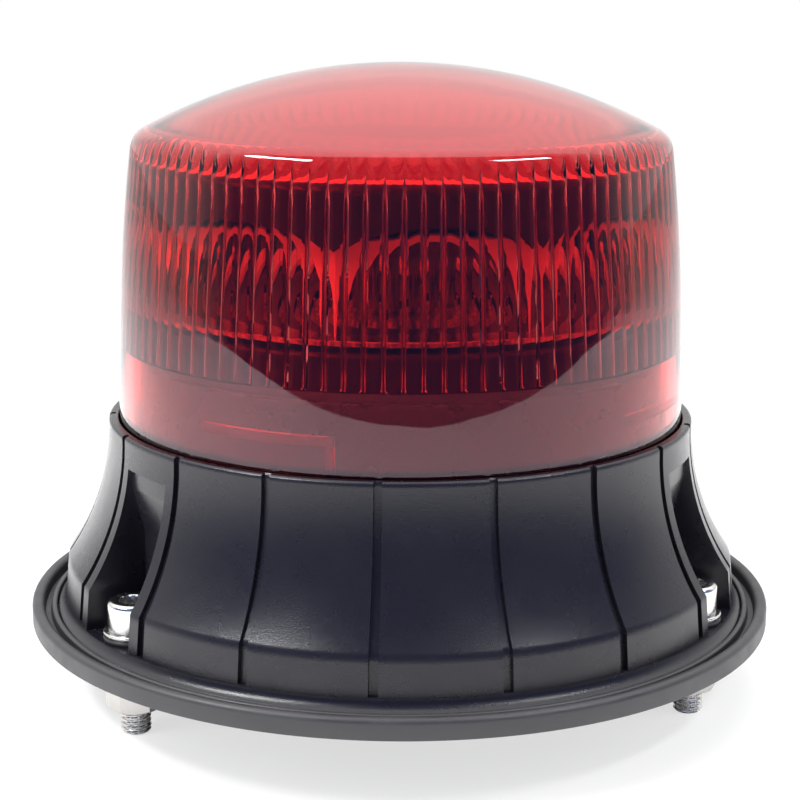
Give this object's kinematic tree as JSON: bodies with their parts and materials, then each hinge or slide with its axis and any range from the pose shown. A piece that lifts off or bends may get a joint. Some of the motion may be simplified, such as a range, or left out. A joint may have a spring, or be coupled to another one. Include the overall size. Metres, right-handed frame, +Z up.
{
  "type": "rotating warning beacon",
  "caption": "Rotating warning beacon: red fluted lens on a bayonet, scooped rotor driven by a geared motor, and a flared bolt-down base with a rubber gasket.",
  "frame": {"origin": "centre of the gasket's underside, the plane the beacon is bolted down on", "axes": "+Z up along the rotor's axis; -Y towards the front, between two mounting bolts"},
  "size_m": [0.1572, 0.1572, 0.1302],
  "materials": {
    "housing_black": "fine pebbled moulding",
    "gasket_rubber": "smooth moulded rubber",
    "lens_red": "clear red moulding with flutes inside",
    "chassis_black": "satin",
    "mirror_coat": "vacuum metallised",
    "heat_sink_aluminium": "turned",
    "board_green": "solder mask",
    "board_white": "white solder mask on aluminium",
    "diode": "phosphor dome",
    "bush_bronze": "sintered",
    "gear_white": "moulded acetal",
    "motor_steel": "drawn can",
    "shaft_steel": "ground",
    "bolt_steel": "polished stainless",
    "screw_steel": "zinc plated",
    "vent_grey": "membrane carrier",
    "terminal_green": "moulded",
    "capacitor_sleeve": "shrink sleeve",
    "inductor_core": "ferrite",
    "chip_black": "epoxy"
  },
  "bodies": {
    "housing": {"base_housing": "housing_black", "mounting_gasket": "gasket_rubber", "chassis_drum": "chassis_black", "heat_sink": "heat_sink_aluminium", "lamp_board": "board_white", "lamp_diodes": "diode", "lower_bush": "bush_bronze", "upper_bush": "bush_bronze", "gear_plate": "chassis_black", "motor_can": "motor_steel", "motor_screws": "screw_steel", "bottom_cover": "housing_black", "cable_grommet": "gasket_rubber", "breather_vent": "vent_grey", "driver_board": "board_green", "terminal_block": "terminal_green", "capacitors": "capacitor_sleeve", "power_inductor": "inductor_core", "controller_chip": "chip_black", "mounting_bolts": "bolt_steel", "bolt_washers": "bolt_steel", "sealing_washers": "gasket_rubber", "bolt_sleeves": "bolt_steel", "mounting_nuts": "bolt_steel", "cover_screws": "screw_steel", "drum_screws": "screw_steel", "plate_screws": "screw_steel", "sink_screws": "screw_steel", "board_screws": "screw_steel", "lamp_board_screws": "screw_steel"},
    "rotor": {"scoop_crown": "mirror_coat", "rotor_hood": "chassis_black", "rotor_shaft": "shaft_steel", "drive_gear": "gear_white", "shaft_clip": "shaft_steel", "hood_screw": "screw_steel"},
    "motor_rotor": {"motor_pinion": "gear_white", "motor_spindle": "motor_steel"},
    "lens_seat": {"lens_seal": "gasket_rubber"},
    "lens_body": {"lens": "lens_red"}
  },
  "joints": [
    {"name": "rotor_spin", "type": "hinge", "parent": "housing", "child": "rotor", "pos_m": [0, 0, 0.04], "axis": [0, 0, 1], "continuous": true},
    {"name": "motor_spin", "type": "hinge", "parent": "housing", "child": "motor_rotor", "pos_m": [0.02271, 0.02271, 0.04], "axis": [0, 0, 1], "continuous": true},
    {"name": "lens_lift", "type": "slide", "parent": "housing", "child": "lens_seat", "axis": [0, 0, 1], "range_m": [0, 0.075]},
    {"name": "lens_twist", "type": "hinge", "parent": "lens_seat", "child": "lens_body", "pos_m": [0, 0, 0.037], "axis": [0, 0, 1], "range_deg": [0, 30]}
  ],
  "couplings": [
    {"joint": "motor_spin", "follows": "rotor_spin", "ratio": -3}
  ]
}
